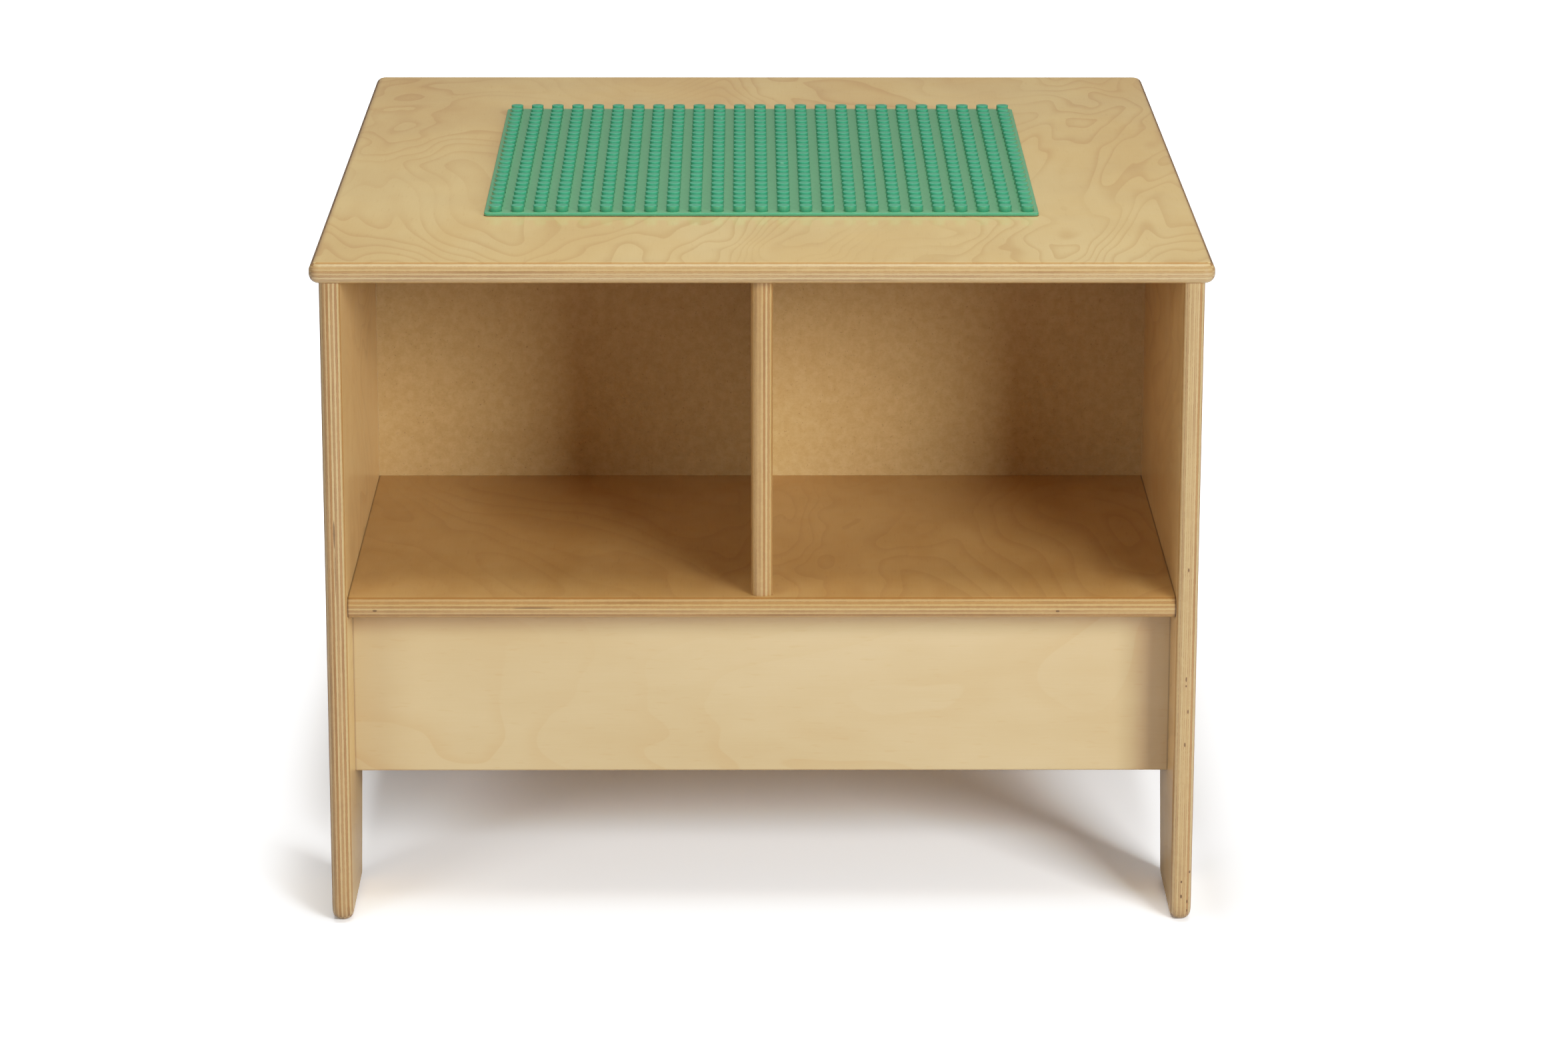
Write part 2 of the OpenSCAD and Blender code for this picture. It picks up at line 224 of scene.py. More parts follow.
def long_noise(tree, place, lumps, detail=2.0, rough=0.5, warp=0.0):
    """Noise with its own number of lumps per metre along each axis, so that it is long one way
    and narrow another."""
    return noise(tree, place_calc(tree, "MULTIPLY", place, lumps), 1.0, detail, rough, warp)


SOCKETS = {"value": "NodeSocketFloat", "colour": "NodeSocketColor", "vector": "NodeSocketVector"}
print("kinds of socket:", sorted(SOCKETS))


# %% Groups
def new_group(name, inputs, outputs):
    """An empty shader group with named sockets; returns its tree, inputs and outputs."""
    tree = bpy.data.node_groups.new(name, "ShaderNodeTree")
    for title, kind, start in inputs:
        socket = tree.interface.new_socket(title, in_out="INPUT", socket_type=SOCKETS[kind])
        socket.default_value = start
    for title, kind in outputs:
        tree.interface.new_socket(title, in_out="OUTPUT", socket_type=SOCKETS[kind])
    take = tree.nodes.new("NodeGroupInput").outputs
    give = tree.nodes.new("NodeGroupOutput").inputs
    return tree, take, give


def place_group(tree, group, **sources):
    """Puts a group into a tree, feeds its inputs by name, and returns its outputs."""
    node = tree.nodes.new("ShaderNodeGroup")
    node.node_tree = group
    feed_all(tree, node, **sources)
    return node.outputs


print("groups so far:", len(bpy.data.node_groups))

# %% [markdown]
# ## Birch veneer
# Plywood's face is one thin sheet peeled off a turning log, so the year rings are cut almost flat
# and show as wide, wandering contour lines with pointed ends. A wave texture would draw even
# stripes, like sawn pine. A height map gives the real figure: where a slow noise crosses a round
# number there is a line, as on a hiker's map. Wood darkens slowly through a year and starts pale
# again, so each line is soft on one side and crisp on the other. Fine fibres and short flecks run
# along the grain on top of it.

# %% Veneer group: the figure
# Lumps per metre across the grain, along it and through the board
FIGURE_LUMPS, FADE_LUMPS = (4.5, 1.8, 4.5), (6, 3, 6)
veneer, take, give = new_group(
    "birch veneer",
    [("Place", "vector", (0, 0, 0)), ("Pale", "colour", (0.6, 0.45, 0.25, 1)),
     ("Deep", "colour", (0.5, 0.35, 0.18, 1)), ("Line", "colour", (0.45, 0.28, 0.14, 1)),
     ("Figure", "value", 0.5), ("Rings", "value", 20.0)],
    [("Color", "colour"), ("Height", "value")])
slow = long_noise(veneer, take["Place"], FIGURE_LUMPS, detail=3.2, rough=0.42, warp=0.6)
rings = calc(veneer, "FRACT", times(veneer, slow, take["Rings"]))
soft_side = ramp(veneer, rings, 0.35, 0.98)
crisp_side = ramp(veneer, rings, 0.96, 1.0, start=1.0, end=0.0)
line = calc(veneer, "POWER", times(veneer, soft_side, crisp_side), 2.0)
fade = long_noise(veneer, take["Place"], FADE_LUMPS, detail=3.0)
line = times(veneer, line, ramp(veneer, fade, 0.38, 0.6, start=0.25))
print("figure nodes:", len(veneer.nodes))

# %% Veneer group: clouds, fibres and flecks
CLOUD_LUMPS, FIBRE_LUMPS, FLECK_LUMPS = (9, 2.8, 9), (900, 26, 900), (420, 60, 420)
FIBRE_SHARE, FLECK_SHARE = 0.2, 0.14
cloud = long_noise(veneer, take["Place"], CLOUD_LUMPS, detail=4.0, rough=0.6)
fibre = long_noise(veneer, take["Place"], FIBRE_LUMPS, detail=3.0, rough=0.6)
fleck = ramp(veneer, long_noise(veneer, take["Place"], FLECK_LUMPS, detail=1.0), 0.64, 0.74)
base = blend(veneer, ramp(veneer, cloud, 0.32, 0.68), take["Pale"], take["Deep"])
base = tint(veneer, base, line, take["Figure"], take["Line"])
grain = plus(veneer, times(veneer, fibre, FIBRE_SHARE), times(veneer, fleck, FLECK_SHARE))
feed(veneer, give["Color"], blend(veneer, grain, base, take["Line"]))
feed(veneer, give["Height"], fibre)
print("veneer nodes:", len(veneer.nodes))

# %% [markdown]
# ## The plies on an edge
# A 15 mm birch board has eleven plies. Their grain turns by a quarter from one to the next, so on
# an edge they alternate between long pale fibres and dark cut ends. They could be eleven thin
# sheets of mesh, but every rounded corner would have to cut all of them. Here the depth below the
# board's face says which ply a point is in. The same rule draws the bands on a round-over for
# free, because a round-over is only a slanted walk down through the plies. Where it first leaves
# the flat, it cuts the face ply's own grain, which takes the lacquer darker: a thin brown line. No
# two plies come from the same log, so each gets a chance number that makes it darker or paler.
# Here and there a ply has a small gap, and it shows as a short dark dash.

# %% Ply group: which ply a point is in
# In metres: a board, its face ply, and how far its glue lines wander
BOARD, FACE_PLY, WANDER = 0.015, 0.00085, 0.0003
INNER_PLIES = 9.0
plies, take, give = new_group(
    "ply layers",
    [("Depth", "value", 0.0), ("Thickness", "value", BOARD), ("Face ply", "value", FACE_PLY),
     ("Along", "vector", (0, 0, 0)), ("Seed", "value", 0.0), ("Flip", "value", 0.0),
     ("Flat", "value", 1.0), ("Pale", "colour", (0.6, 0.45, 0.25, 1)),
     ("End", "colour", (0.3, 0.18, 0.09, 1)), ("Glue", "colour", (0.1, 0.05, 0.02, 1)),
     ("Face", "colour", (0.6, 0.45, 0.25, 1))],
    [("Color", "colour"), ("Edge", "value"), ("Height", "value")])
inner = minus(plies, take["Thickness"], times(plies, take["Face ply"], 2.0))
wobble = times(plies, minus(plies, noise(plies, take["Along"], 45.0), 0.5), WANDER)
deep = plus(plies, minus(plies, take["Depth"], take["Face ply"]), wobble)
count = calc(plies, "DIVIDE", deep, calc(plies, "DIVIDE", inner, INNER_PLIES))
ply = calc(plies, "FLOOR", count)
odd = unsigned(plies, minus(plies, calc(plies, "FLOORED_MODULO", ply, 2.0), take["Flip"]))
seam = ramp(plies, calc(plies, "PINGPONG", count, 0.5), 0.02, 0.16, start=1.0, end=0.0)
print("one inner ply: %.2f mm" % (1000 * (BOARD - 2 * FACE_PLY) / INNER_PLIES))

# %% Ply group: fibres, pores, gaps and chance
# Each ply reads its noise some metres from the next. Its chance number is a sine of a large angle,
# times some hundreds, with everything before the point dropped.
PLY_STEP = 6.17
CHANCE_STEP, CHANCE_SPREAD = 12.99, 437.58
own_step = times(plies, ply, PLY_STEP)
apart = place_calc(plies, "ADD", take["Along"], together(plies, own_step, own_step, own_step))
long_fibre = noise(plies, take["Along"], 380.0, detail=3.0, rough=0.6)
pores = noise(plies, take["Along"], 2600.0, rough=0.7)
shade = ramp(plies, noise(plies, apart, 9.0, detail=3.0, rough=0.6), 0.4, 0.7, end=0.3)
gaps = ramp(plies, noise(plies, apart, 26.0, detail=4.0, rough=0.55), 0.72, 0.745)
broken = noise(plies, take["Along"], 240.0, detail=3.0, rough=0.7)
broken = ramp(plies, broken, 0.35, 0.62, start=0.08, end=0.55)
chance = calc(plies, "SINE", plus(plies, times(plies, ply, CHANCE_STEP), take["Seed"]))
chance = calc(plies, "FRACT", times(plies, chance, CHANCE_SPREAD))
print("ply nodes so far:", len(plies.nodes))

# %% Ply group: colours
# The brown line reaches this far into a face ply, counted in inner plies. It fades out where the
# surface turns flat: `Flat` is 1 on the board's face.
RIM_REACH, ROUND, FLAT = 0.55, 0.97, 0.995
side_grain = tint(plies, take["Pale"], long_fibre, 0.3, take["End"])
side_grain = tint(plies, side_grain, chance, 0.3, take["End"])
end_grain = tint(plies, take["End"], chance, 0.52, take["Pale"])
end_grain = tint(plies, end_grain, pores, 0.3, take["Pale"])
end_grain = blend(plies, shade, end_grain, take["Glue"])
end_grain = tint(plies, end_grain, gaps, 0.85, take["Glue"])
layer = blend(plies, odd, side_grain, end_grain)
layer = tint(plies, layer, seam, broken, take["Glue"])
on_edge = between(plies, count, 0.0, INNER_PLIES)
rim = between(plies, count, -RIM_REACH, INNER_PLIES + RIM_REACH)
rim = times(plies, rim, ramp(plies, take["Flat"], ROUND, FLAT, start=0.75, end=0.0))
rim = times(plies, rim, minus(plies, 1.0, take["Flip"]))
face = blend(plies, rim, take["Face"], take["End"])
feed(plies, give["Color"], blend(plies, on_edge, face, layer))
feed(plies, give["Edge"], on_edge)
feed(plies, give["Height"], minus(plies, times(plies, long_fibre, 0.5), seam))
print("ply nodes:", len(plies.nodes))

# %% [markdown]
# ## Lacquer
# The wood has a clear satin coat. One roughness for a whole board looks like plastic film, because
# a real coat is never perfectly even: the roller leaves faint ripples and hands dull it in
# patches. So the group gives a roughness and a height that both vary slowly.

# %% Lacquer group
lacquer, take, give = new_group(
    "lacquer",
    [("Place", "vector", (0, 0, 0)), ("Roughness", "value", 0.35), ("Grain", "value", 0.5)],
    [("Roughness", "value"), ("Height", "value")])
patches = noise(lacquer, take["Place"], 11.0, detail=4.0, rough=0.6)
dull = ramp(lacquer, patches, 0.3, 0.7, start=-0.05, end=0.07)
feed(lacquer, give["Roughness"], plus(lacquer, take["Roughness"], dull))
ripple = times(lacquer, noise(lacquer, take["Place"], 160.0), 0.5)
feed(lacquer, give["Height"], plus(lacquer, ripple, times(lacquer, take["Grain"], 0.5)))
print("lacquer nodes:", len(lacquer.nodes))

# %% [markdown]
# ## Painted gap shade and small flaws
# Where a board stops against the sides there is a hairline gap that light hardly reaches, and the
# cut plies have the odd small knot or chip. Cutting these into the solids would cost many faces
# for what is thinner than a pixel. They are masks that darken the colour instead: painted shade
# near the ends of a board for the gap, and an oval on its front edge for a knot or chip.

# %% Painted gap shade group
# Metres from the end of a board where the painted shade line starts and where it is full
LINE_STARTS, LINE_FULL = 0.0014, 0.0004
gap_shade_line, take, give = new_group(
    "gap shade line",
    [("Place", "vector", (0, 0, 0)), ("End", "value", 0.3), ("Weight", "value", 0.75)],
    [("Mask", "value")])
from_middle = unsigned(gap_shade_line, axes(gap_shade_line, take["Place"])["X"])
near = ramp(gap_shade_line, from_middle, minus(gap_shade_line, take["End"], LINE_STARTS),
            minus(gap_shade_line, take["End"], LINE_FULL), end=take["Weight"])
feed(gap_shade_line, give["Mask"], near)
print("gap shade line: %.1f mm" % (1000 * LINE_STARTS))

# %% Flaw group
# With half sizes a and b, the oval is where ((X - x) / a)^2 + ((Z - z) / b)^2 is below 1.
flaw, take, give = new_group(
    "small flaw",
    [("Place", "vector", (0, 0, 0)), ("Across", "value", 0.0), ("Up", "value", 0.0),
     ("Half width", "value", 0.001), ("Half height", "value", 0.001)],
    [("Mask", "value")])
here = axes(flaw, take["Place"])
squares = []
for axis, centre, half in (("X", "Across", "Half width"), ("Z", "Up", "Half height")):
    share = calc(flaw, "DIVIDE", minus(flaw, here[axis], take[centre]), take[half])
    squares.append(calc(flaw, "POWER", share, 2.0))
oval = ramp(flaw, plus(flaw, *squares), 0.45, 1.0, start=0.8, end=0.0)
in_front = calc(flaw, "LESS_THAN", here["Y"], 0.0)
feed(flaw, give["Mask"], times(flaw, oval, in_front))
print("flaw nodes:", len(flaw.nodes))

# %% [markdown]
# ## Plywood boards
# Every board has the same layers, veneer, plies and lacquer. One material for all would run every
# grain the same way, so one function makes a material for each board. What changes is which axis
# runs through its thickness, where its face lies, which way the face grain runs, and how warm the
# veneer is. Each board starts its pattern at another place, so no two look cut from one print.


# %% Empty materials and bumps
def empty_material(name):
    """A material with only its shader and the object's own coordinates."""
    material = bpy.data.materials.new(name)
    material.use_nodes = True
    tree = material.node_tree
    shader = next(node for node in tree.nodes if node.type == "BSDF_PRINCIPLED")
    return material, tree, shader, tree.nodes.new("ShaderNodeTexCoord").outputs


def bump_into(tree, shader, height, strength, distance):
    """Feeds a height into the shader's normal through one bump node."""
    bump = tree.nodes.new("ShaderNodeBump")
    feed_all(tree, bump, Strength=strength, Distance=distance, Height=height)
    feed_all(tree, shader, Normal=bump.outputs[0])


# The pale and the dark plies of an edge, as (long fibres, cut ends)
EDGE = (tone(190, 163, 118), tone(143, 99, 51))
EDGE_WARM = (tone(184, 153, 103), tone(140, 94, 43))
# GAP_SHADE is painted shade: the dark of the hairline gap where a board meets the sides.
GLUE, GAP_SHADE, FLAW = tone(84, 50, 20), tone(70, 44, 22), tone(74, 46, 24)
SATIN, COAT_ROUGHNESS = 0.36, 0.09
print("edge tones:", len(EDGE + EDGE_WARM))


# %% Plywood material
def plywood(name, face_at, start, through, grain, flip_on, pale, deep, ring, figure=0.36,
            ring_count=26.0, gloss=0.3, edge=EDGE, ends=0.0, gap_shade_weight=0.75, knots=()):
    """Birch plywood. A point's depth is its distance from `face_at` along the axis `through`,
    across the plies. `grain` is the axis of the face grain, `flip_on` the axis whose edges show
    the other set of plies as end grain, `start` where the pattern begins, and `gloss` the
    lacquer's weight. A board that stops against the sides gets painted shade for its hairline gap:
    a dark line at x = `ends` on both ends. A knot is (x, z, half width, half height) on the front
    edge."""
    material, tree, shader, coords = empty_material(name)
    here, facing = axes(tree, coords["Object"]), axes(tree, coords["Normal"])
    across = ({"X", "Y", "Z"} - {through, grain}).pop()
    place = together(tree, plus(tree, here[across], start[0]), plus(tree, here[grain], start[1]),
                     start[2])
    depth = unsigned(tree, minus(tree, here[through], face_at))
    other = ({"X", "Y", "Z"} - {through, flip_on}).pop()
    flip = calc(tree, "GREATER_THAN", unsigned(tree, facing[flip_on]),
                unsigned(tree, facing[other]))
    face = place_group(tree, veneer, Place=place, Pale=pale, Deep=deep, Line=ring, Figure=figure,
                       Rings=ring_count)
    layer = place_group(tree, plies, Depth=depth, Along=coords["Object"], Flip=flip,
                        Seed=start[0] + start[2], Flat=unsigned(tree, facing[through]),
                        Pale=edge[0], End=edge[1], Glue=GLUE, Face=face["Color"])
    coat = place_group(tree, lacquer, Place=coords["Object"], Roughness=SATIN, Grain=face["Height"])
    colour = layer["Color"]
    if ends:
        # Painted shade: a dark line at each end, where the hairline gap lies in shadow.
        line = place_group(tree, gap_shade_line, Place=coords["Object"], End=ends, Weight=gap_shade_weight)
        colour = blend(tree, line["Mask"], colour, GAP_SHADE)
    for x, z, half_width, half_height in knots:
        knot = place_group(tree, flaw, Place=coords["Object"], Across=x, Up=z,
                           Half_width=half_width, Half_height=half_height)
        colour = blend(tree, knot["Mask"], colour, FLAW)
    height = plus(tree, coat["Height"], times(tree, layer["Height"], layer["Edge"]))
    bump_into(tree, shader, height, strength=0.25, distance=0.00012)
    feed_all(tree, shader, Base_Color=colour, Roughness=coat["Roughness"], Coat_Weight=gloss,
             Coat_Roughness=COAT_ROUGHNESS)
    return material


print("material made from", len((veneer, plies, lacquer, gap_shade_line, flaw)), "groups")

# %% Tones and knots
HONEY = {"pale": tone(220, 187, 131), "deep": tone(211, 174, 117), "ring": tone(178, 136, 86)}
WARM = {"pale": tone(196, 160, 102), "deep": tone(182, 141, 82), "ring": tone(150, 104, 56)}
PALE = {"pale": tone(199, 173, 131), "deep": tone(190, 162, 119), "ring": tone(178, 136, 86)}
SHELF_KNOTS = [(-0.2735, 0.2315, 0.0019, 0.0008), (-0.162, 0.2335, 0.017, 0.0004),
               (0.209, 0.231, 0.0016, 0.0008)]
LEFT_KNOTS = [(-0.3005, 0.289, 0.0006, 0.012), (-0.3003, 0.262, 0.0003, 0.02)]
RIGHT_KNOTS = [(0.3005, 0.263, 0.0006, 0.0018), (0.3005, 0.1825, 0.0006, 0.0022),
               (0.3005, 0.1776, 0.0006, 0.001), (0.3022, 0.1586, 0.0006, 0.0018),
               (0.3005, 0.134, 0.0006, 0.002), (0.3062, 0.038, 0.0008, 0.0012),
               (0.3003, 0.031, 0.0007, 0.0012), (0.3003, 0.02, 0.0009, 0.0017),
               (0.3046, 0.016, 0.0006, 0.0016), (0.3046, 0.009, 0.0005, 0.0014)]
print("knots:", len(SHELF_KNOTS + LEFT_KNOTS + RIGHT_KNOTS))

# %% Boards
LYING = {"through": "Z", "grain": "Y", "flip_on": "X"}
UPRIGHT = {"through": "X", "grain": "Y", "flip_on": "Z"}
CROSSWISE = {"through": "Y", "grain": "X", "flip_on": "Z"}
looks = {
    "top_panel": plywood(
        "top plywood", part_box("top_panel")[1].z, (0.3, 0.2, 0.0), **LYING, **HONEY,
        figure=0.42, ring_count=32, gloss=0.7),
    "side_panel_left": plywood(
        "left side plywood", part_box("side_panel_left")[0].x, (0.9, 0.4, 0.7), **UPRIGHT, **HONEY,
        knots=LEFT_KNOTS),
    "side_panel_right": plywood(
        "right side plywood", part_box("side_panel_right")[1].x, (2.1, 1.7, 1.3), **UPRIGHT, **HONEY,
        knots=RIGHT_KNOTS),
    "shelf": plywood(
        "shelf plywood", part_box("shelf")[1].z, (0.1, 3.1, 2.0), **LYING, **WARM,
        figure=0.24, edge=EDGE_WARM, ends=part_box("shelf")[1].x, knots=SHELF_KNOTS),
    "divider_front": plywood(
        "front divider plywood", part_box("divider_front")[1].x, (1.3, 0.3, 3.0), **UPRIGHT, **HONEY,
        edge=EDGE_WARM),
    "divider_rear": plywood(
        "rear divider plywood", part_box("divider_rear")[1].x, (4.3, 2.3, 3.6), **UPRIGHT, **HONEY,
        edge=EDGE_WARM),
    "apron_front": plywood(
        "front apron plywood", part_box("apron_front")[0].y, (0.6, 0.9, 4.1), **CROSSWISE, **PALE,
        figure=0.26, ring_count=18, ends=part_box("apron_front")[1].x, gap_shade_weight=0.35),
    "apron_rear": plywood(
        "rear apron plywood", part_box("apron_rear")[1].y, (2.6, 3.9, 4.9), **CROSSWISE, **PALE,
        figure=0.26, ring_count=18, ends=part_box("apron_rear")[1].x, gap_shade_weight=0.35),
}
print("boards:", sorted(looks))

# %% [markdown]
# ## Fibreboard
# The panel behind the cubbies is brown fibreboard: wood pulp pressed flat. It has no grain. A
# picture of a board could be laid on it, but that blurs close up and repeats, and noise does
# neither. Plain noise at two scales gives the soft mottle from clumps of fibre and a scatter of
# darker specks, and short wisps are fibres that lie flat.

# %% Fibreboard
WISP_LUMPS = (420, 420, 1800)
fibreboard, tree, shader, coords = empty_material("brown fibreboard")
here = coords["Object"]
mottle = ramp(tree, noise(tree, here, 190.0, detail=5.0, rough=0.7), 0.3, 0.7)
specks = ramp(tree, noise(tree, here, 620.0, rough=0.6), 0.66, 0.74)
wisps = ramp(tree, long_noise(tree, here, WISP_LUMPS, detail=3.0, rough=0.6, warp=1.2), 0.54, 0.68)
colour = blend(tree, mottle, tone(193, 161, 107), tone(205, 175, 123))
colour = tint(tree, colour, wisps, 0.15, tone(150, 112, 66))
colour = tint(tree, colour, specks, 0.4, tone(112, 78, 42))
feed_all(tree, shader, Base_Color=colour, Roughness=0.62)
bump_into(tree, shader, wisps, strength=0.2, distance=0.0001)
looks["centre_panel"] = fibreboard
print("fibreboard nodes:", len(tree.nodes))

# %% [markdown]
# ## Cleats and dowels
# These sit under the top or inside the joints. A flat brown would do from the front, but the
# cleats show from below, so they get the finish of solid wood: sanded hardwood with straight
# grain, and pale beech with short dark rays. Noise that is long one way is enough, because solid
# wood of this kind has no wandering figure.

# %% Straight grain group
straight_grain, take, give = new_group(
    "straight grain",
    [("Place", "vector", (0, 0, 0)), ("Lumps", "vector", (12, 260, 260)),
     ("Pale", "colour", (0.6, 0.45, 0.25, 1)), ("Deep", "colour", (0.5, 0.35, 0.18, 1)),
     ("Ray", "colour", (0.2, 0.1, 0.03, 1)), ("Rays", "value", 0.3)],
    [("Color", "colour"), ("Height", "value")])
streak = long_noise(straight_grain, take["Place"], take["Lumps"], detail=4.0, rough=0.6)
finer = place_calc(straight_grain, "MULTIPLY", take["Lumps"], (3, 3, 3))
dash = long_noise(straight_grain, take["Place"], finer, detail=1.0)
dash = ramp(straight_grain, dash, 0.62, 0.72)
colour = blend(straight_grain, ramp(straight_grain, streak, 0.3, 0.7), take["Pale"], take["Deep"])
feed(straight_grain, give["Color"], tint(straight_grain, colour, dash, take["Rays"], take["Ray"]))
feed(straight_grain, give["Height"], streak)
print("straight grain nodes:", len(straight_grain.nodes))


# %% Hardwood and beech
def plain_wood(name, lumps, pale, deep, rays):
    """Solid wood with straight grain, fewest lumps per metre along it, and short dashes of ray."""
    material, tree, shader, coords = empty_material(name)
    wood = place_group(tree, straight_grain, Place=coords["Object"], Lumps=lumps, Pale=pale,
                       Deep=deep, Ray=tone(120, 80, 44), Rays=rays)
    feed_all(tree, shader, Base_Color=wood["Color"], Roughness=0.55)
    bump_into(tree, shader, wood["Height"], strength=0.3, distance=0.00015)
    return material


ALONG_X, ALONG_Y = (12, 260, 260), (260, 12, 260)
hardwood = plain_wood("hardwood", ALONG_Y, tone(206, 168, 122), tone(180, 138, 92), rays=0.3)
beech = plain_wood("beech", ALONG_X, tone(214, 180, 136), tone(196, 158, 112), rays=0.6)
for corner in ("front_left", "front_right", "rear_left", "rear_right"):
    looks["cleat_" + corner] = hardwood
for name in ("shelf_dowels", "apron_dowels", "divider_dowels"):
    looks[name] = beech
print("solid woods:", hardwood.name, beech.name)

# %% [markdown]
# ## Bolts, nuts and screws
# The bolt heads show on the outer sides. They are blackened steel, and the nuts and screws are
# zinc plated. A metal of one roughness looks like a mirror that was made dull, so fine scratches
# break the shine and cloudy noise marks where the plating has worn.

# %% Worn steel group
SCRATCH_LUMPS = (3000, 200, 900)
worn_steel, take, give = new_group(
    "worn steel",
    [("Place", "vector", (0, 0, 0)), ("Plate", "colour", (0.4, 0.4, 0.4, 1)),
     ("Worn", "colour", (0.3, 0.3, 0.3, 1)), ("Roughness", "value", 0.3)],
    [("Color", "colour"), ("Roughness", "value"), ("Height", "value")])
wear = ramp(worn_steel, noise(worn_steel, take["Place"], 420.0, detail=4.0, rough=0.65), 0.45, 0.7)
scratch = long_noise(worn_steel, take["Place"], SCRATCH_LUMPS)
feed(worn_steel, give["Color"], blend(worn_steel, wear, take["Plate"], take["Worn"]))
rough = plus(worn_steel, times(worn_steel, scratch, 0.18), take["Roughness"])
feed(worn_steel, give["Roughness"], rough)
feed(worn_steel, give["Height"], scratch)
print("worn steel nodes:", len(worn_steel.nodes))


# %% Zinc plate and dark oxide
def steel(name, plate, worn, roughness):
    """Plated or blackened steel, duller where cloudy noise has worn it."""
    material, tree, shader, coords = empty_material(name)
    surface = place_group(tree, worn_steel, Place=coords["Object"], Plate=plate, Worn=worn,
                          Roughness=roughness)
    feed_all(tree, shader, Base_Color=surface["Color"], Roughness=surface["Roughness"],
             Metallic=1.0)
    bump_into(tree, shader, surface["Height"], strength=0.15, distance=0.00005)
    return material


zinc = steel("zinc plate", tone(176, 174, 168), tone(140, 138, 134), roughness=0.3)
black = steel("dark oxide", tone(58, 56, 54), tone(96, 92, 86), roughness=0.34)
looks.update(connector_bolts=black, cross_nuts=zinc, cleat_side_screws=zinc, cleat_top_screws=zinc)
print("metals:", zinc.name, black.name)

# %% [markdown]
# ## Adhesive strips
# Foam strips hold the plate down, and their edges show only as a thin line under it. A smooth grey
# would read as metal tape, so fine noise gives the open cells of foam in colour and height.

# %% Adhesive strip
foam, tree, shader, coords = empty_material("adhesive strip")
cells = noise(tree, coords["Object"], 900.0, detail=3.0, rough=0.7)
colour = blend(tree, cells, tone(196, 196, 190), tone(168, 168, 162))
feed_all(tree, shader, Base_Color=colour, Roughness=0.85)
bump_into(tree, shader, cells, strength=0.4, distance=0.0001)
looks["plate_adhesive"] = foam
print("finishes:", len(looks))

# %% [markdown]
# ## Each finish on its solid
# A solid could be copied and changed here, but then it could drift from the CAD model. So the
# solids keep their meshes, and only what lies in their material slots is exchanged.

# %% Put each finish on its solid
for name, material in looks.items():
    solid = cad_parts[name]
    if not solid.material_slots:
        solid.data.materials.append(material)
    for holder in solid.material_slots:
        holder.material = material
print("dressed:", len(looks), "of", len(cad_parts))

# %% [markdown]
# ## The building plate
# The plate is injection moulded, so no rim on it is really sharp, and the small rounding is what
# catches the light on 625 studs. A Bevel modifier could round them, but it has to search every
# edge of a large mesh, and a CAD solid is left alone. Here a stud is a profile turned about its
# own axis. The sheet is the same idea on another path: a profile carried round a rounded square.
# Each stud keeps to a few dozen faces, because it is repeated so often.


# %% Loops joined into surfaces
def joined(rows, sides):
    """Quads between neighbouring closed loops. Point k of loop j has the number j x sides + k,
    and the last point of a loop is next to its first."""
    loop, step = np.meshgrid(np.arange(rows - 1), np.arange(sides), indexing="ij")
    here, after = loop * sides + step, loop * sides + (step + 1) % sides
    return np.stack([here, after, after + sides, here + sides], -1).reshape(-1, 4)


def closed(rows, sides):
    """Two flat faces that close the first and the last loop; the first one is turned over."""
    return np.stack([np.arange(sides)[::-1], (rows - 1) * sides + np.arange(sides)])


def turned(profile, sides, centres):
    """Points at (x + r cos a, y + r sin a, z) for each centre (x, y), profile point (r, z) and
    angle a."""
    angle = np.arange(sides) * 2 * np.pi / sides
    radius, height = np.array(profile).T
    one = np.stack([radius[:, None] * np.cos(angle), radius[:, None] * np.sin(angle),
                    np.repeat(height[:, None], sides, 1)], -1).reshape(-1, 3)
    spots = np.pad(np.asarray(centres, float), ((0, 0), (0, 1)))
    points = (spots[:, None, :] + one[None]).reshape(-1, 3)
    shift = np.arange(len(spots))[:, None, None] * len(one)
    walls = (joined(len(profile), sides)[None] + shift).reshape(-1, 4)
    low, high = (cap + shift[:, 0] for cap in closed(len(profile), sides))
    return points, walls, low, high


print("quads between two loops of 14:", len(joined(2, 14)))


# %% Profiles carried round a square
def rounded_square(half, corner, steps):
    """A square's outline, counter-clockwise: each corner is a quarter circle, with points at
    half - corner + corner x (cos a, sin a), and the four are turned by quarters."""
    angle = np.linspace(0, np.pi / 2, steps)
    quarter = np.stack([np.cos(angle), np.sin(angle)], -1) * corner + (half - corner)
    turns = [quarter @ np.array([[math.cos(q), math.sin(q)], [-math.sin(q), math.cos(q)]])
             for q in (0, np.pi / 2, np.pi, 3 * np.pi / 2)]
    return np.concatenate(turns)


def carried(profile, half, corner, steps):
    """Carries a profile of (inset, height) pairs round a rounded square: each pair gives one loop
    at its height, on the square made smaller by its inset."""
    sides = 4 * steps
    loops = [np.column_stack([rounded_square(half - inset, corner - inset, steps),
                              np.full(sides, height)]) for inset, height in profile]
    return np.concatenate(loops), joined(len(profile), sides), closed(len(profile), sides)


print("points on a rounded square:", len(rounded_square(0.2, 0.003, 7)))


